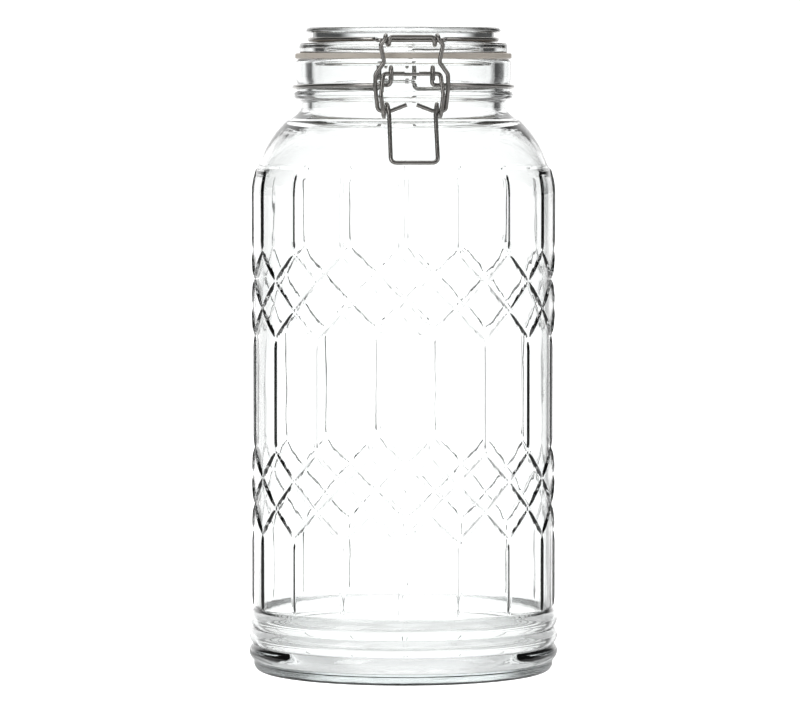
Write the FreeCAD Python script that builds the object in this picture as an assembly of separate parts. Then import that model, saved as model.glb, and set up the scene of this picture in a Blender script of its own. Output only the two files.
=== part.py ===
import FreeCAD, Part
import math
import os

from FreeCAD import Vector

# Clip-top glass canister: a tall pressed-glass jar, a glass lid with a rubber gasket, and a
# wire clip made of four bent wires.  Millimetres, Z up, origin at the centre of the base.
# The clip is at the front (-Y) and the lid hinge is at the back (+Y).  In the wire paths,
# "out" is the horizontal distance from the jar's axis, along -Y in front and +Y behind.

# ---- jar ----
BODY_R = 82.4            # outside radius of the straight wall
RIB_R = 85.0             # crest radius of the ribs round the foot
VALLEY_R = 83.0          # radius between two ribs
RIB_PITCH = 9.3
RIB_COUNT = 3
FIRST_RIB_Z = 10.7
FOOT_IN_R, FOOT_OUT_R = 76.0, 79.0   # flat ring that the jar stands on
PUNT_H = 3.5             # how far the underside is pushed up inside the foot ring
WALL = 3.3
FLOOR_Z = 9.0
FLOOR_CORNER_R = 9.0
SHOULDER_Z = 262.0       # the straight wall ends here
STEP_Z, STEP_R = 277.0, 80.6         # small step where the shoulder starts to close
STEP_DROP = 1.2
BEVEL_Z, BEVEL_R = 298.2, 68.6       # top of the round shoulder
NECK_R = 56.3
NECK_Z = 309.5
RIDGE_R, RIDGE_LOW, RIDGE_TOP = 60.2, 314.8, 318.6
GROOVE_R, GROOVE_TOP = 58.5, 323.2
BEAD_R = 59.1
RIM_Z = 336.6
MOUTH_R = 50.5

# ---- lid and gasket ----
PLUG_R, PLUG_Z = 48.5, 333.0         # skirt that fits in the mouth
RECESS_R, RECESS_Z = 44.0, 346.5     # hollow underside, open to the jar
GASKET_IN_R, GASKET_R = 49.3, 59.4
GASKET_Z, FLANGE_Z = 336.8, 339.8
FLANGE_R, FLANGE_TOP = 57.2, 345.5
LID_GROOVE_R, LID_GROOVE_TOP = 50.0, 351.0
TOP_R, TOP_Z = 53.6, 354.0
TOP_EDGE_R = 2.0         # rounding of the top edge
DISH_R, DISH_DEPTH = 46.0, 1.2

# ---- clip ----
WIRE_R = 1.15
EYE_R = 2.55             # centreline radius of a small eye wound round another wire
LOOP_R = 3.5             # centreline radius of the lever's larger loop
EYE_PITCH = 2.4          # side shift of an eye in one turn
BEND_R = 2.2             # ordinary bend of the wire

NECK_RING_R, NECK_RING_Z = 59.95, 321.3
NECK_RING_RISE = 1.2     # the ring sits this much higher in front than at the sides
LID_RING_R, LID_RING_Z = 51.4, 347.3

BAR_OUT, BAR_Z = 61.0, 346.6         # lid wire's front bar: the link hinges on it
PIN_OUT, PIN_Z = 62.5, 308.7         # link's inturned pins: the lever hinges on them
CROSS_OUT, CROSS_Z = 63.3, 328.6     # lever's crossbar, held in the neck wire's crooks
HINGE_OUT, HINGE_Z = 63.8, 335.0     # neck wire's rear bar: the lid wire hinges on it
CROOK_X, CROOK_R = 11.2, 3.3
CROOK_OUT, CROOK_Z = 62.9, 328.7     # centre of the crook's bend
CROOK_TIP_Z = 325.0
THUMB_X, THUMB_Z = 12.6, 281.1       # thumb bar at the bottom of the lever


# ---------------------------------------------------------------- revolved glass and rubber
class Outline:
    """A closed half section in the X-Z plane, drawn point by point, then revolved."""

    def __init__(self, r, z):
        self.start = self.here = Vector(r, 0, z)
        self.edges = []

    def to(self, r, z):
        there = Vector(r, 0, z)
        self.edges.append(Part.makeLine(self.here, there))
        self.here = there
        return self

    def arc(self, via, r, z):
        there = Vector(r, 0, z)
        self.edges.append(Part.Arc(self.here, Vector(via[0], 0, via[1]), there).toShape())
        self.here = there
        return self

    def solid(self):
        self.edges.append(Part.makeLine(self.here, self.start))
        face = Part.Face(Part.Wire(self.edges))
        return face.revolve(Vector(0, 0, 0), Vector(0, 0, 1), 360)


def make_jar():
    line = Outline(0, PUNT_H)
    line.to(58, PUNT_H - 0.6).arc((70, 1.7), FOOT_IN_R, 0).to(FOOT_OUT_R, 0)
    line.arc((81.5, 1.6), 82.3, FIRST_RIB_Z - RIB_PITCH / 2)
    for number in range(RIB_COUNT):
        z = FIRST_RIB_Z + number * RIB_PITCH
        line.arc((RIB_R, z), VALLEY_R, z + RIB_PITCH / 2)
    line.to(BODY_R, FIRST_RIB_Z + RIB_COUNT * RIB_PITCH - 3.5).to(BODY_R, SHOULDER_Z)
    line.arc((82.1, 267.5), 81.2, 272.5).to(STEP_R, STEP_Z).to(STEP_R - 0.9, STEP_Z + STEP_DROP)
    line.arc((75.5, 287.9), BEVEL_R, BEVEL_Z).to(64.2, 303.0)
    line.arc((58.6, 306.6), NECK_R, NECK_Z).to(NECK_R, 313.0)
    line.arc((57.6, 314.6), RIDGE_R - 0.8, RIDGE_LOW)
    line.arc((RIDGE_R, (RIDGE_LOW + RIDGE_TOP) / 2), RIDGE_R - 0.5, RIDGE_TOP)
    line.to(GROOVE_R, RIDGE_TOP + 0.4).to(GROOVE_R, GROOVE_TOP).arc((58.8, 324.4), BEAD_R, 326.5)
    line.to(BEAD_R, RIM_Z - 2.2).arc((BEAD_R - 0.6, RIM_Z - 0.6), BEAD_R - 2.2, RIM_Z)
    line.to(MOUTH_R + 1.5, RIM_Z).arc((MOUTH_R + 0.4, RIM_Z - 0.4), MOUTH_R, RIM_Z - 1.5)
    line.to(MOUTH_R, 309.0).arc((52.5, 304.6), 57.5, 301.3).arc((71.6, 287.2), 76.4, STEP_Z)
    line.arc((78.4, 270.0), BODY_R - WALL, SHOULDER_Z)
    inner, round_floor = BODY_R - WALL, FLOOR_CORNER_R * (1 - math.sqrt(0.5))
    line.to(inner, FLOOR_Z + FLOOR_CORNER_R)
    line.arc((inner - round_floor, FLOOR_Z + round_floor), inner - FLOOR_CORNER_R, FLOOR_Z)
    line.to(0, FLOOR_Z)
    return line.solid()


def make_lid():
    line = Outline(0, RECESS_Z).to(RECESS_R - 4, RECESS_Z)
    line.arc((RECESS_R - 1.17, RECESS_Z - 1.17), RECESS_R, RECESS_Z - 4).to(RECESS_R + 0.6, PLUG_Z)
    line.to(PLUG_R - 0.8, PLUG_Z).to(PLUG_R, PLUG_Z + 0.8).to(PLUG_R, FLANGE_Z)
    line.to(FLANGE_R - 1, FLANGE_Z).arc((FLANGE_R - 0.3, FLANGE_Z + 0.3), FLANGE_R, FLANGE_Z + 1)
    line.to(FLANGE_R, FLANGE_TOP - 1.4)
    line.arc((FLANGE_R - 0.4, FLANGE_TOP - 0.4), FLANGE_R - 1.4, FLANGE_TOP)
    line.to(LID_GROOVE_R, FLANGE_TOP).to(LID_GROOVE_R, LID_GROOVE_TOP)
    line.to(TOP_R - 0.8, LID_GROOVE_TOP).to(TOP_R, LID_GROOVE_TOP + 0.8).to(TOP_R, TOP_Z - TOP_EDGE_R)
    line.arc((TOP_R - TOP_EDGE_R * 0.3, TOP_Z - TOP_EDGE_R * 0.3), TOP_R - TOP_EDGE_R, TOP_Z)
    line.to(DISH_R + 2, TOP_Z).to(DISH_R, TOP_Z - DISH_DEPTH).to(0, TOP_Z - DISH_DEPTH)
    return line.solid()


def make_gasket():
    edge = 0.8
    line = Outline(GASKET_IN_R, GASKET_Z).to(GASKET_R - edge, GASKET_Z)
    line.to(GASKET_R, GASKET_Z + edge).to(GASKET_R, FLANGE_Z - edge)
    line.to(GASKET_R - edge, FLANGE_Z).to(GASKET_IN_R, FLANGE_Z)
    return line.solid()


# ---------------------------------------------------------------- bent wires
def front(x, out, z):
    """A point at the front of the jar."""
    return Vector(x, -out, z)


def back(x, out, z):
    """A point at the back of the jar."""
    return Vector(x, out, z)


def bent(points, bends):
    """Edges of a path through the points, rounded at each inner corner by its bend radius."""
    edges, here = [], points[0]
    for number, corner in enumerate(points[1:-1]):
        into = (corner - points[number]).normalize()
        away = (points[number + 2] - corner).normalize()
        turn = into.getAngle(away)
        bend = bends[number] if isinstance(bends, (list, tuple)) else bends
        reach = bend * math.tan(turn / 2)
        first, last = corner - into * reach, corner + away * reach
        inward = (away - into).normalize()
        middle = corner + inward * (bend / math.cos(turn / 2) - bend)
        edges.append(Part.makeLine(here, first))
        edges.append(Part.Arc(first, middle, last).toShape())
        here = last
    edges.append(Part.makeLine(here, points[-1]))
    return edges


class Coil:
    """Wire wound round an axis along X.  Angles are in degrees from the top, turning outwards.

    side is front or back, the centre is at (out, z), and the wire shifts from x0 to x1.
    The turns are short arcs, each starting in the direction in which the last one ended.
    """

    def __init__(self, side, out, z, radius, angles, xs):
        count = round((angles[1] - angles[0]) / 30)
        turn = math.radians(angles[1] - angles[0])
        self.points = []
        for number in range(count + 1):
            angle = math.radians(angles[0]) + turn * number / count
            x = xs[0] + (xs[1] - xs[0]) * number / count
            self.points.append(
                side(x, out + radius * math.sin(angle), z + radius * math.cos(angle)))
        angle = math.radians(angles[0])
        self.start = side(
            (xs[1] - xs[0]) / turn, radius * math.cos(angle), -radius * math.sin(angle)
        ).normalize()
        self.edges, heading = [], self.start
        for here, there in zip(self.points, self.points[1:]):
            chord = there - here
            along = Vector(chord).normalize()
            tilt = heading.getAngle(along)
            aside = (heading - along * heading.dot(along)).normalize()
            middle = here + chord / 2 + aside * (chord.Length / 2 * math.tan(tilt / 2))
            self.edges.append(Part.Arc(here, middle, there).toShape())
            heading = along * (2 * heading.dot(along)) - heading
        self.end = heading

    def before(self, length):
        return self.points[0] - self.start * length

    def after(self, length):
        return self.points[-1] + self.end * length


def swept(edges, radius=WIRE_R):
    """A round wire along the edges, which follow each other smoothly."""
    path = Part.Wire(edges)
    start = edges[0].Vertexes[0].Point
    along = edges[0].tangentAt(edges[0].FirstParameter)
    section = Part.Wire(Part.makeCircle(radius, start, along))
    return path.makePipeShell([section], True, False)


def both_sides(half):
    """Joins the right half of a wire to its mirror image at x = 0."""
    return half.fuse(half.mirror(Vector(0, 0, 0), Vector(1, 0, 0))).removeSplitter()


class Ring:
    """A ring of wire round the jar.  Azimuths are in degrees from the front towards +X."""

    def __init__(self, radius, z, azimuths, rise=0.0):
        self.radius, self.z, self.rise = radius, z, rise
        first, last = (self.point(a) for a in azimuths)
        self.first, self.last = first, last
        self.edge = Part.Arc(first, self.point(sum(azimuths) / 2), last).toShape()

    def point(self, azimuth):
        angle = math.radians(azimuth)
        return Vector(self.radius * math.sin(angle), -self.radius * math.cos(angle),
                      self.z + self.rise * math.cos(angle))

    def corner(self, end, x):
        """Where the ring, carried straight on past that end, reaches the given x."""
        at, start = (self.first, self.edge.FirstParameter) if end == "first" else (
            self.last, self.edge.LastParameter)
        along = self.edge.tangentAt(start)
        return at + along * ((x - at.x) / along.x)


def make_neck_wire():
    leave = math.degrees(math.asin((CROOK_X + 4.0) / NECK_RING_R))
    ring = Ring(NECK_RING_R, NECK_RING_Z, (leave, 180 - leave), NECK_RING_RISE)
    # front crook: tip, over the top, down behind the crossbar, then into the ring
    tip = front(CROOK_X, CROOK_OUT + CROOK_R, CROOK_TIP_Z)
    outer = front(CROOK_X, CROOK_OUT + CROOK_R, CROOK_Z)
    top = front(CROOK_X, CROOK_OUT, CROOK_Z + CROOK_R)
    inner = front(CROOK_X, CROOK_OUT - CROOK_R, CROOK_Z)
    foot = ring.corner("first", CROOK_X)
    low = front(CROOK_X, CROOK_OUT - CROOK_R, foot.z + 3.5)
    edges = [Part.makeLine(tip, outer), Part.Arc(outer, top, inner).toShape()]
    edges += bent([inner, low, foot, ring.first], [3.0, 2.0]) + [ring.edge]
    # rear: up out of the ring and across, which is the bar that the lid hinges on
    edges += bent(
        [ring.last, ring.corner("last", CROOK_X), back(CROOK_X, HINGE_OUT, HINGE_Z),
         back(0, HINGE_OUT, HINGE_Z)], BEND_R)
    return both_sides(swept(edges))


def make_lid_wire():
    leg_x, eye_x = 18.2, 8.0
    ring = Ring(LID_RING_R, LID_RING_Z, (25, 165))
    edges = bent(
        [front(0, BAR_OUT, BAR_Z), front(leg_x, BAR_OUT, BAR_Z),
         ring.corner("first", leg_x), ring.first], [BEND_R, 3.0])
    # rear end: out of the groove, down behind the rim and round the hinge bar
    eye = Coil(back, HINGE_OUT, HINGE_Z, EYE_R, (60, 390), (eye_x, eye_x - EYE_PITCH))
    over = eye.before((LID_RING_Z - eye.points[0].z) / -eye.start.z)
    edges.append(ring.edge)
    edges += bent([ring.last, ring.corner("last", over.x), over, eye.points[0]], BEND_R)
    return both_sides(swept(edges + eye.edges))


def make_latch_link():
    # top bar, an eye round the lid wire's bar, then a leg that jogs outwards past the lever
    eye = Coil(front, BAR_OUT, BAR_Z, EYE_R, (90, 420), (11.9, 11.9 + EYE_PITCH))
    bend = 1.8
    corner = eye.before(bend)
    edges = bent([front(0, -corner.y, corner.z), corner, eye.points[0]], bend * 0.95)

    def leg(x, z):
        share = (z - PIN_Z) / (BAR_Z - PIN_Z)
        return front(x, PIN_OUT + share * (BAR_OUT + EYE_R - PIN_OUT), z)

    edges += eye.edges + bent(
        [eye.points[-1], eye.after(1.3), leg(16.8, 344.2), leg(14.9, 334.8), leg(19.5, 328.2),
         leg(19.7, 321.5), leg(18.2, PIN_Z), leg(11.0, PIN_Z), leg(2.7, PIN_Z + 3.2)],
        [1.6, 1.9, 2.4, 2.6, 8.0, 2.0, 2.2])
    return both_sides(swept(edges))


def make_latch_lever():
    # crossbar, leg, one loop round the link's pin, then the thumb loop leaning outwards
    loop = Coil(front, PIN_OUT, PIN_Z, LOOP_R, (90, 420), (15.7, 13.0))
    weld_x, weld_r, weld_drop = 3.9, 0.95, 0.35
    thumb = loop.after((loop.points[-1].z - THUMB_Z) / -loop.end.z)
    thumb.x = THUMB_X
    edges = bent(
        [front(weld_x, CROSS_OUT, CROSS_Z), front(15.4, CROSS_OUT, CROSS_Z),
         loop.before(8.0), loop.points[0]], [2.2, 4.0])
    edges += loop.edges + bent(
        [loop.points[-1], loop.after(4.0), thumb, front(0, -thumb.y, THUMB_Z)], [6.0, 3.0])
    half = swept(edges)
    # the crossbar is joined in the middle by a thinner length of the two ends welded together
    weld = Part.makeCylinder(weld_r, weld_x + 0.5, front(0, CROSS_OUT, CROSS_Z - weld_drop),
                             Vector(1, 0, 0))
    return both_sides(half.fuse(weld))


PIECES = {
    "jar": make_jar,
    "lid": make_lid,
    "gasket": make_gasket,
    "neck_wire": make_neck_wire,
    "lid_wire": make_lid_wire,
    "latch_link": make_latch_link,
    "latch_lever": make_latch_lever,
}

os.makedirs("parts", exist_ok=True)
for name, make in PIECES.items():
    shape = make()
    box = shape.optimalBoundingBox(False)
    print(name, "solids", len(shape.Solids), "valid", shape.isValid(), "volume",
          round(shape.Volume), "box", [round(v, 1) for v in (
              box.XMin, box.XMax, box.YMin, box.YMax, box.ZMin, box.ZMax)])
    shape.exportStep("parts/" + name + ".step")
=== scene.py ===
import math

import bpy
import numpy as np
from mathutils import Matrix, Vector


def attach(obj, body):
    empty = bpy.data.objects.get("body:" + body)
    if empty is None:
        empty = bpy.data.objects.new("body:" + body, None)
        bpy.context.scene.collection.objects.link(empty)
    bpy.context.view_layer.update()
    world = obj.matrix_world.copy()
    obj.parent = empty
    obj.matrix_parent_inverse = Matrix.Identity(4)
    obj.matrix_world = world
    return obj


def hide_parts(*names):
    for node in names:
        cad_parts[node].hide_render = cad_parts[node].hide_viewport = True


# A clear pressed-glass canister with a wire clip.  The glass and rubber pieces are rebuilt
# here as fine smooth meshes, the jar with its raised lattice; the wires are the CAD's own.

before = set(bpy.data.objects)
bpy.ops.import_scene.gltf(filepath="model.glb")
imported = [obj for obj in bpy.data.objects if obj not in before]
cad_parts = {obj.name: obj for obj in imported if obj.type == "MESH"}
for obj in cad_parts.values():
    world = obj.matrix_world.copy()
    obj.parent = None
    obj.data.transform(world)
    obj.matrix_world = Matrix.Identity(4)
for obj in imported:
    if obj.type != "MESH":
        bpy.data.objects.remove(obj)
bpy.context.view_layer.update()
MM = 0.001

# ---- sizes of the glass and the rubber, in millimetres, as in the CAD ----
BODY_R, RIB_R, VALLEY_R = 82.4, 85.0, 83.0
RIB_PITCH, RIB_COUNT, FIRST_RIB_Z = 9.3, 3, 10.7
FOOT_IN_R, FOOT_OUT_R, PUNT_H = 76.0, 79.0, 3.5
WALL, FLOOR_Z, FLOOR_CORNER_R = 3.3, 9.0, 9.0
SHOULDER_Z, STEP_Z, STEP_R = 262.0, 277.0, 80.6
BEVEL_Z, BEVEL_R = 298.2, 68.6
NECK_R, NECK_Z = 56.3, 309.5
RIDGE_R, RIDGE_LOW, RIDGE_TOP = 60.2, 314.8, 318.6
GROOVE_R, GROOVE_TOP = 58.5, 323.2
BEAD_R, RIM_Z, MOUTH_R = 59.1, 336.6, 50.5
PLUG_R, PLUG_Z, RECESS_R, RECESS_Z = 48.5, 333.0, 44.0, 346.5
GASKET_IN_R, GASKET_R, GASKET_Z = 49.3, 59.4, 336.8
FLANGE_Z, FLANGE_R, FLANGE_TOP = 339.8, 57.2, 345.5
LID_GROOVE_R, LID_GROOVE_TOP = 50.0, 351.0
TOP_R, TOP_Z, TOP_EDGE_R, DISH_R, DISH_DEPTH = 53.6, 354.0, 2.0, 46.0, 1.2

# ---- lattice on the wall: pointed beads between nodes on two sets of columns ----
COLUMNS = 16
COLUMN_STEP = 2 * math.pi / COLUMNS
LATTICE_TURN = math.radians(-5.1)    # how far the nearest column is turned from the clip
BEAD_HALF, BEAD_H = 1.6, 1.15       # half width and height of a bead
BEAD_TAPER = 6.0                     # a bead narrows to its point over this length
ROW_STEP = 15.5                      # height between two rows of nodes
LOW_ROW, HIGH_ROW = 77.5, 185.5      # the lowest node row of each of the two bands
BAND = 3 * ROW_STEP                  # height of a band
LATTICE_FOOT, LATTICE_TOP = 34.8, 276.6

FINE, COARSE = 512, 128              # points round the lattice, and round all else
CLOSE_RINGS, WIDE_RINGS = 1.25, 4    # heights between rings, on beads that slant and elsewhere


# ---------------------------------------------------------------- outlines
class Outline:
    """Rings (r, z) in millimetres along a half section, drawn point by point."""

    def __init__(self, r, z):
        self.rings = [(r, z)]

    def to(self, r, z, count=1):
        """A straight run.  Rings close to both ends keep its edges crisp."""
        r0, z0 = self.rings[-1]
        edge = min(0.15 / math.hypot(r - r0, z - z0), 0.25)
        for i in range(count + 1):
            t = edge + (1 - 2 * edge) * i / count
            self.rings.append((r0 + (r - r0) * t, z0 + (z - z0) * t))
        self.rings.append((r, z))
        return self

    def arc(self, via, r, z, count=8):
        """A circular arc through the point via."""
        a, b, c = (complex(*p) for p in (self.rings[-1], via, (r, z)))
        w = (c - a) / (b - a)
        centre = a + (b - a) * (w - abs(w) ** 2) / (w - w.conjugate())
        angles = [math.atan2((p - centre).imag, (p - centre).real) for p in (a, b, c)]
        turn = (angles[2] - angles[0]) % (2 * math.pi)
        if (angles[1] - angles[0]) % (2 * math.pi) > turn:
            turn -= 2 * math.pi
        for i in range(1, count + 1):
            angle = angles[0] + turn * i / count
            self.rings.append((centre.real + abs(a - centre) * math.cos(angle),
                               centre.imag + abs(a - centre) * math.sin(angle)))
        return self


def bead(across, up, foot, head):
    """Height of one bead at points (across, up), from foot to head, all in millimetres."""
    run = np.subtract(head, foot)
    length = math.hypot(*run)
    run = run / length
    along = (across - foot[0]) * run[0] + (up - foot[1]) * run[1]
    aside = (across - foot[0]) * run[1] - (up - foot[1]) * run[0]
    end = np.clip(np.minimum(along, length - along) / BEAD_TAPER, 0, 1)
    half = BEAD_HALF * end ** 0.7
    shape = 1 - (aside / np.maximum(half, 1e-6)) ** 2
    return np.where(end > 0, BEAD_H * end ** 0.4 * np.clip(shape, 0, 1), 0)


def lattice(turn, up):
    """Height of the lattice at angles from a column and heights up the wall."""
    near = np.abs((turn / COLUMN_STEP + 0.5) % 1 - 0.5)       # 0 on a column, 0.5 between two
    half_step = COLUMN_STEP * BODY_R / 2
    across = near * 2 * half_step
    height = bead(across, up, (0, LATTICE_FOOT), (0, LOW_ROW))
    beads = [((half_step, LOW_ROW + BAND), (half_step, HIGH_ROW)),
             ((0, HIGH_ROW + BAND), (0, LATTICE_TOP))]
    for row, side in ((LOW_ROW, 0), (HIGH_ROW, half_step)):
        for number in range(3):
            z = row + number * ROW_STEP
            beads.append(((side, z), (half_step - side, z + ROW_STEP)))
            side = half_step - side
    for foot, head in beads:
        height = np.maximum(height, bead(across, up, foot, head))
    return height


def ridge(lifts, a, b):
    """How well the line from point a to point b follows a bead: a face folds along it."""
    return (lifts[a] + lifts[b]) / 2 - abs(lifts[a] - lifts[b])


def revolved(name, rings, columns, relief=None):
    """A mesh of rings round Z.  columns says how many points a ring has, and relief how far
    its points stand out of the surface.  Its normals are worked out from the outline."""
    rings = np.array(rings)
    step = np.diff(rings, axis=0)
    step /= np.maximum(np.linalg.norm(step, axis=1), 1e-9)[:, None]
    along = np.vstack([step[:1], step[:-1] + step[1:], step[-1:]])
    along /= np.maximum(np.linalg.norm(along, axis=1), 1e-9)[:, None]
    points, normals, starts, counts, lifts = [], [], [], [], []
    for (r, z), (dr, dz), (count, lifted) in zip(rings, along, columns):
        starts.append(sum(counts))
        count = 1 if r < 1e-6 else count
        counts.append(count)
        turn = 2 * np.pi * np.arange(count) / count
        angle = turn + LATTICE_TURN
        out = np.stack([np.sin(angle), -np.cos(angle), 0 * angle], 1)
        side = np.stack([np.cos(angle), np.sin(angle), 0 * angle], 1)
        axis = np.array([0, 0, 1.0])
        normal = out * dz - axis * dr
        point = out * r + axis * z
        rise = 0 * turn
        if lifted and relief is not None:
            rise, slope_side, slope_up = relief(turn, z)
            point = point + normal * rise[:, None]
            normal = normal - side * slope_side[:, None] - (out * dr + axis * dz) * slope_up[:, None]
            normal /= np.linalg.norm(normal, axis=1)[:, None]
        if count == 1:
            point, normal = axis[None] * z, -axis[None] * dr
        points.append(point)
        normals.append(normal)
        lifts += rise.tolist()
    faces = []
    for ring in range(len(rings) - 1):
        a, b, low, high = counts[ring], counts[ring + 1], starts[ring], starts[ring + 1]
        for i in range(min(a, b) if min(a, b) > 1 else max(a, b)):
            k = max(a // b, 1) if b > 1 else 1
            m = max(b // a, 1) if a > 1 else 1
            bottom = [low] if a == 1 else [low + (i * k + n) % a for n in range(k + 1)]
            top = [high] if b == 1 else [high + (i * m + n) % b for n in range(m + 1)]
            face = bottom + top[::-1]
            if len(face) == 4 and ridge(lifts, face[1], face[3]) > ridge(lifts, face[0], face[2]):
                face = face[1:] + face[:1]
            faces.append(face)
    mesh = bpy.data.meshes.new(name)
    mesh.from_pydata((np.vstack(points) * MM).tolist(), [], faces)
    mesh.shade_smooth()
    mesh.normals_split_custom_set_from_vertices(np.vstack(normals).tolist())
    piece = bpy.data.objects.new(name, mesh)
    bpy.context.scene.collection.objects.link(piece)
    return piece


def jar_relief(turn, z):
    nudge = 0.3
    rise = lattice(turn, z + 0 * turn)
    aside = nudge / BODY_R
    slope_side = (lattice(turn + aside, z + 0 * turn) - lattice(turn - aside, z + 0 * turn))
    slope_up = lattice(turn, z + nudge + 0 * turn) - lattice(turn, z - nudge + 0 * turn)
    return rise, slope_side / (2 * nudge), slope_up / (2 * nudge)


def make_jar():
    line = Outline(0, PUNT_H)
    line.to(58, PUNT_H - 0.6, 3).arc((70, 1.7), FOOT_IN_R, 0).to(FOOT_OUT_R, 0)
    line.arc((81.5, 1.6), 82.3, FIRST_RIB_Z - RIB_PITCH / 2)
    for number in range(RIB_COUNT):
        z = FIRST_RIB_Z + number * RIB_PITCH
        line.arc((RIB_R, z), VALLEY_R, z + RIB_PITCH / 2, 12)
    line.to(BODY_R, FIRST_RIB_Z + RIB_COUNT * RIB_PITCH - 3.5)
    below = len(line.rings)
    # the wall, with rings close together where beads slant or end
    for top, step in ((44, CLOSE_RINGS), (70, WIDE_RINGS), (LOW_ROW + BAND + 8, CLOSE_RINGS),
                      (178, WIDE_RINGS), (HIGH_ROW + BAND + 8, CLOSE_RINGS),
                      (SHOULDER_Z, WIDE_RINGS)):
        bottom = line.rings[-1][1]
        count = round((top - bottom) / step)
        line.rings += [(BODY_R, bottom + (top - bottom) * (i + 1) / count)
                       for i in range(count)]
    line.arc((82.1, 267.5), 81.2, 272.5, 7).to(STEP_R, STEP_Z, 4)
    above = len(line.rings)
    line.to(STEP_R - 0.9, STEP_Z + 1.2)
    line.arc((75.5, 287.9), BEVEL_R, BEVEL_Z, 14).to(64.2, 303.0)
    line.arc((58.6, 306.6), NECK_R, NECK_Z, 8).to(NECK_R, 313.0)
    line.arc((57.6, 314.6), RIDGE_R - 0.8, RIDGE_LOW, 6)
    line.arc((RIDGE_R, (RIDGE_LOW + RIDGE_TOP) / 2), RIDGE_R - 0.5, RIDGE_TOP, 6)
    line.to(GROOVE_R, RIDGE_TOP + 0.4).to(GROOVE_R, GROOVE_TOP)
    line.arc((58.8, 324.4), BEAD_R, 326.5, 4).to(BEAD_R, RIM_Z - 2.2)
    line.arc((BEAD_R - 0.6, RIM_Z - 0.6), BEAD_R - 2.2, RIM_Z, 6).to(MOUTH_R + 1.5, RIM_Z)
    line.arc((MOUTH_R + 0.4, RIM_Z - 0.4), MOUTH_R, RIM_Z - 1.5, 5).to(MOUTH_R, 309.0)
    line.arc((52.5, 304.6), 57.5, 301.3, 8).arc((71.6, 287.2), 76.4, STEP_Z, 12)
    line.arc((78.4, 270.0), BODY_R - WALL, SHOULDER_Z, 8)
    inner, round_floor = BODY_R - WALL, FLOOR_CORNER_R * (1 - math.sqrt(0.5))
    line.to(inner, FLOOR_Z + FLOOR_CORNER_R, 6)
    line.arc((inner - round_floor, FLOOR_Z + round_floor),
             inner - FLOOR_CORNER_R, FLOOR_Z, 10).to(0, FLOOR_Z, 3)
    columns = [(FINE, True) if below <= i < above - 1 else (COARSE, False)
               for i in range(len(line.rings))]
    return revolved("jar_glass", line.rings, columns, jar_relief)


def make_lid():
    line = Outline(0, RECESS_Z).to(RECESS_R - 4, RECESS_Z, 3)
    line.arc((RECESS_R - 1.17, RECESS_Z - 1.17), RECESS_R, RECESS_Z - 4, 7)
    line.to(RECESS_R + 0.6, PLUG_Z).to(PLUG_R - 0.8, PLUG_Z).to(PLUG_R, PLUG_Z + 0.8).to(PLUG_R, FLANGE_Z)
    line.to(FLANGE_R - 1, FLANGE_Z)
    line.arc((FLANGE_R - 0.3, FLANGE_Z + 0.3), FLANGE_R, FLANGE_Z + 1, 5)
    line.to(FLANGE_R, FLANGE_TOP - 1.4)
    line.arc((FLANGE_R - 0.4, FLANGE_TOP - 0.4), FLANGE_R - 1.4, FLANGE_TOP, 5)
    line.to(LID_GROOVE_R, FLANGE_TOP).to(LID_GROOVE_R, LID_GROOVE_TOP)
    line.to(TOP_R - 0.8, LID_GROOVE_TOP).to(TOP_R, LID_GROOVE_TOP + 0.8)
    line.to(TOP_R, TOP_Z - TOP_EDGE_R)
    line.arc((TOP_R - TOP_EDGE_R * 0.3, TOP_Z - TOP_EDGE_R * 0.3), TOP_R - TOP_EDGE_R, TOP_Z, 7)
    line.to(DISH_R + 2, TOP_Z).to(DISH_R, TOP_Z - DISH_DEPTH).to(0, TOP_Z - DISH_DEPTH, 3)
    return revolved("lid_glass", line.rings, [(COARSE, False)] * len(line.rings))


def make_gasket():
    edge = 0.8
    line = Outline(GASKET_IN_R, GASKET_Z).to(GASKET_R - edge, GASKET_Z)
    line.arc((GASKET_R - edge * 0.3, GASKET_Z + edge * 0.3), GASKET_R, GASKET_Z + edge, 4)
    line.to(GASKET_R, FLANGE_Z - edge)
    line.arc((GASKET_R - edge * 0.3, FLANGE_Z - edge * 0.3), GASKET_R - edge, FLANGE_Z, 4)
    line.to(GASKET_IN_R, FLANGE_Z).to(GASKET_IN_R, GASKET_Z)
    return revolved("gasket_ring", line.rings, [(COARSE, False)] * len(line.rings))


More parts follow.
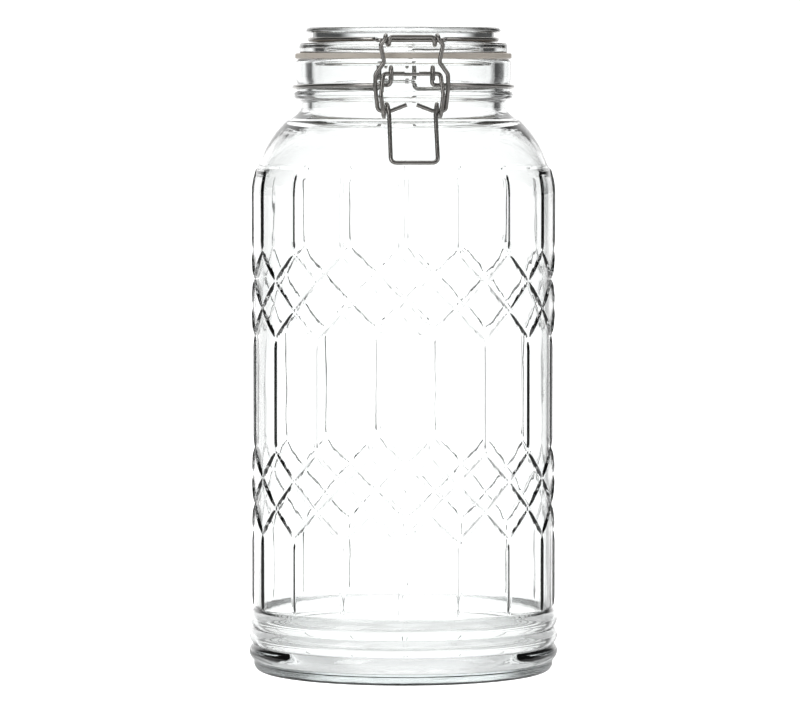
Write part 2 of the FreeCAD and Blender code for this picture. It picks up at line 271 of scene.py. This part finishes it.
# ---------------------------------------------------------------- materials
class Shader:
    """A material's node tree, with short names for what is used here."""

    def __init__(self, name):
        self.material = bpy.data.materials.new(name)
        self.material.use_nodes = True
        self.tree = self.material.node_tree
        self.main = self.tree.nodes["Principled BSDF"]
        self.output = self.tree.nodes["Material Output"]
        self.place = self.node("ShaderNodeTexCoord")

    def node(self, kind, **inputs):
        made = self.tree.nodes.new(kind)
        for key, value in inputs.items():
            made.inputs[key.replace("_", " ")].default_value = value
        return made

    def link(self, source, target):
        self.tree.links.new(source, target)

    def noise(self, scale, detail=3.0, stretch=(1, 1, 1)):
        grain = self.node("ShaderNodeTexNoise", Scale=scale, Detail=detail)
        spread = self.node("ShaderNodeMapping", Scale=stretch)
        self.link(self.place.outputs["Object"], spread.inputs["Vector"])
        self.link(spread.outputs["Vector"], grain.inputs["Vector"])
        return grain.outputs["Fac"]

    def between(self, fac, low, high, span=(0.3, 0.7)):
        """low where fac is at the start of span, high at its end: numbers or colours."""
        blend = self.node("ShaderNodeMapRange")
        blend.inputs["From Min"].default_value, blend.inputs["From Max"].default_value = span
        self.link(fac, blend.inputs["Value"])
        if isinstance(low, tuple):
            mix = self.node("ShaderNodeMix")
            mix.data_type = "RGBA"
            mix.inputs[6].default_value, mix.inputs[7].default_value = (*low, 1), (*high, 1)
            self.link(blend.outputs["Result"], mix.inputs[0])
            return mix.outputs[2]
        blend.inputs["To Min"].default_value, blend.inputs["To Max"].default_value = low, high
        return blend.outputs["Result"]

    def math(self, operation, first, second=None):
        made = self.node("ShaderNodeMath")
        made.operation = operation
        self.link(first, made.inputs[0])
        if second is not None:
            self.link(second, made.inputs[1])
        return made.outputs[0]

    def bump(self, height, strength, distance):
        raised = self.node("ShaderNodeBump", Strength=strength, Distance=distance)
        self.link(height, raised.inputs["Height"])
        self.link(raised.outputs["Normal"], self.main.inputs["Normal"])


def glass(name, tint, density):
    """Clear pressed glass: slightly uneven, tinted by its depth, and letting lamps through."""
    s = Shader(name)
    s.main.inputs["Base Color"].default_value = (0.985, 0.993, 0.99, 1)
    s.main.inputs["Transmission Weight"].default_value = 1.0
    s.main.inputs["IOR"].default_value = 1.51
    s.link(s.between(s.noise(35, 4), 0.0, 0.035), s.main.inputs["Roughness"])
    s.bump(s.noise(55, 2, (1, 1, 0.35)), 0.12, 0.0012)
    clear = s.node("ShaderNodeBsdfTransparent")
    path = s.node("ShaderNodeLightPath")
    mix = s.node("ShaderNodeMixShader")
    s.link(path.outputs["Is Shadow Ray"], mix.inputs[0])
    s.link(s.main.outputs[0], mix.inputs[1])
    s.link(clear.outputs[0], mix.inputs[2])
    s.link(mix.outputs[0], s.output.inputs["Surface"])
    depth = s.node("ShaderNodeVolumeAbsorption", Color=(*tint, 1), Density=density)
    s.link(depth.outputs[0], s.output.inputs["Volume"])
    return s.material


def rubber():
    s = Shader("gasket_rubber_look")
    s.link(s.between(s.noise(70, 5), (0.66, 0.60, 0.53), (0.75, 0.69, 0.61)),
           s.main.inputs["Base Color"])
    s.link(s.between(s.noise(900, 2), 0.5, 0.72), s.main.inputs["Roughness"])
    s.main.inputs["Specular IOR Level"].default_value = 0.35
    s.bump(s.noise(1400, 2), 0.25, 0.0003)
    return s.material


def wire():
    s = Shader("clip_wire_look")
    s.main.inputs["Metallic"].default_value = 1.0
    s.link(s.between(s.noise(160, 4), (0.27, 0.26, 0.245), (0.38, 0.365, 0.35)),
           s.main.inputs["Base Color"])
    s.link(s.between(s.noise(700, 3), 0.17, 0.27), s.main.inputs["Roughness"])
    s.bump(s.noise(1800, 2), 0.06, 0.0002)
    return s.material


def dress(piece, material):
    piece.data.materials.clear()
    piece.data.materials.append(material)


jar_look = glass("jar_glass_look", (0.68, 0.78, 0.785), 4.0)
lid_look = glass("lid_glass_look", (0.70, 0.77, 0.77), 3.0)
rubber_look, wire_look = rubber(), wire()
for make, node, body, slot, look in (
        (make_jar, "jar", "jar_body", "jar_glass", jar_look),
        (make_lid, "lid", "lid_body", "lid_glass", lid_look),
        (make_gasket, "gasket", "lid_body", "gasket_rubber", rubber_look)):
    piece = make()
    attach(piece, body)
    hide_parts(node)
    dress(piece, look)
for node in ("neck_wire", "lid_wire", "latch_link", "latch_lever"):
    wire_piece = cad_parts[node]
    dress(wire_piece, wire_look)
    wire_piece.data.shade_smooth()

# ---------------------------------------------------------------- studio
FLOOR_SIZE = 40.0
FLOOR_BEHIND = (0.0, 0.35)           # the paper's painted glow turns white this far behind the canister
FLOOR_NEAR, FLOOR_FAR = 0.2, 1.1     # its glow under the canister and far behind it
SIDES_LEFT = 0.05                    # what is left of that glow at the sides
FLOOR_ASIDE = (0.4, 0.62)            # and dark again at the sides, as the world does
scene = bpy.context.scene
floor_mesh = bpy.data.meshes.new("floor")
half = FLOOR_SIZE / 2
floor_mesh.from_pydata(
    [(-half, -half, 0), (half, -half, 0), (half, half, 0), (-half, half, 0)], [], [(0, 1, 2, 3)])
floor = bpy.data.objects.new("floor", floor_mesh)
scene.collection.objects.link(floor)
# floor paper with a painted glow (emission) in place of studio light falling on it
paper = Shader("floor_paper_painted_glow")
paper.main.inputs["Base Color"].default_value = (0.9, 0.9, 0.9, 1)
paper.main.inputs["Roughness"].default_value = 0.9
paper.main.inputs["Emission Color"].default_value = (1, 1, 1, 1)
# the paper glows: seen directly it is white; through the glass its painted glow is a pool of light only
# behind the canister, with painted shade at the sides
spot = paper.node("ShaderNodeSeparateXYZ")
paper.link(paper.place.outputs["Object"], spot.inputs[0])
away = paper.node("ShaderNodeVectorMath")
away.operation = "LENGTH"
paper.link(paper.place.outputs["Object"], away.inputs[0])
turned = paper.math("DIVIDE", paper.math("ABSOLUTE", spot.outputs["X"]), away.outputs["Value"])
behind = paper.between(spot.outputs["Y"], FLOOR_NEAR, FLOOR_FAR, FLOOR_BEHIND)
in_line = paper.between(turned, 1.0, SIDES_LEFT, FLOOR_ASIDE)
# emission strength: white to the camera, else a painted pool of light behind and painted shade at the
# sides
paper.link(paper.math("MAXIMUM", paper.node("ShaderNodeLightPath").outputs["Is Camera Ray"],
                      paper.math("MULTIPLY", behind, in_line)),
           paper.main.inputs["Emission Strength"])
floor_mesh.materials.append(paper.material)


BACKDROP = 1.25                      # brightness of the white behind
SIDE_FALL = (0.4, 0.62, 0.06)        # where it ends at the sides, and what is left of it
TOP_FALL = (0.5, 0.85, 0.4)
FRONT_FALL = (0.1, 0.6, 0.14)


def studio_world():
    """White behind the canister, dark at the sides, overhead and in front, so that the glass
    is drawn by what it bends into view.  Seen directly it is white all over."""
    world = bpy.data.worlds.new("studio")
    world.use_nodes = True
    tree = world.node_tree
    back = tree.nodes["Background"]
    back.inputs["Color"].default_value = (1, 1, 1, 1)

    def node(kind, operation=None):
        made = tree.nodes.new(kind)
        if operation:
            made.operation = operation
        return made

    def falls(source, start, end, low):
        """1 below start, low past end."""
        made = node("ShaderNodeMapRange")
        made.interpolation_type = "SMOOTHSTEP"
        for name, value in (("From Min", start), ("From Max", end),
                            ("To Min", 1.0), ("To Max", low)):
            made.inputs[name].default_value = value
        tree.links.new(source, made.inputs["Value"])
        return made.outputs["Result"]

    direction = node("ShaderNodeSeparateXYZ")
    tree.links.new(node("ShaderNodeTexCoord").outputs["Generated"], direction.inputs[0])
    aside = node("ShaderNodeMath", "ABSOLUTE")
    tree.links.new(direction.outputs["X"], aside.inputs[0])
    sides = falls(aside.outputs[0], *SIDE_FALL)
    above = falls(direction.outputs["Z"], *TOP_FALL)
    toward = node("ShaderNodeMath", "MULTIPLY")
    tree.links.new(direction.outputs["Y"], toward.inputs[0])
    toward.inputs[1].default_value = -1.0
    ahead = falls(toward.outputs[0], *FRONT_FALL)
    both = node("ShaderNodeMath", "MULTIPLY")
    tree.links.new(sides, both.inputs[0])
    tree.links.new(above, both.inputs[1])
    every = node("ShaderNodeMath", "MULTIPLY")
    tree.links.new(both.outputs[0], every.inputs[0])
    tree.links.new(ahead, every.inputs[1])
    bright = node("ShaderNodeMath", "MULTIPLY")
    tree.links.new(every.outputs[0], bright.inputs[0])
    bright.inputs[1].default_value = BACKDROP
    direct = node("ShaderNodeMath", "MAXIMUM")
    tree.links.new(node("ShaderNodeLightPath").outputs["Is Camera Ray"], direct.inputs[0])
    tree.links.new(bright.outputs[0], direct.inputs[1])
    tree.links.new(direct.outputs[0], back.inputs["Strength"])
    return world


scene.world = studio_world()


def softbox(name, place, size, power):
    lamp = bpy.data.lights.new(name, "AREA")
    lamp.shape, lamp.size, lamp.size_y, lamp.energy = "RECTANGLE", *size, power
    holder = bpy.data.objects.new(name, lamp)
    scene.collection.objects.link(holder)
    holder.location = place
    aim = Vector((0, 0, 0.18)) - Vector(place)
    holder.rotation_euler = aim.to_track_quat("-Z", "Y").to_euler()


softbox("key", (-1.7, -1.6, 1.5), (1.0, 2.2), 20)
softbox("fill", (2.0, -1.2, 1.2), (0.8, 2.0), 9)
softbox("top", (0, 0.4, 2.2), (1.6, 1.6), 10)

# ---------------------------------------------------------------- camera
FOCAL_WIDTHS = 6.5                   # focal length over the image's width
DISTANCE, EYE_Z = 2.86, 0.328
TURN = math.radians(4.1)             # the clip is turned this far to the right of the camera
DOWN = math.radians(3.09)
ASIDE = math.atan(3.4 / 800 / FOCAL_WIDTHS)
camera_data = bpy.data.cameras.new("camera")
camera_data.sensor_width = 36.0
camera_data.lens = 36.0 * FOCAL_WIDTHS
camera_data.clip_end = 50
camera = bpy.data.objects.new("camera", camera_data)
scene.collection.objects.link(camera)
camera.location = (-DISTANCE * math.sin(TURN), -DISTANCE * math.cos(TURN), EYE_Z)
camera.rotation_euler = (math.pi / 2 - DOWN, 0, -TURN + ASIDE)
scene.camera = camera
scene.view_settings.view_transform = "Standard"
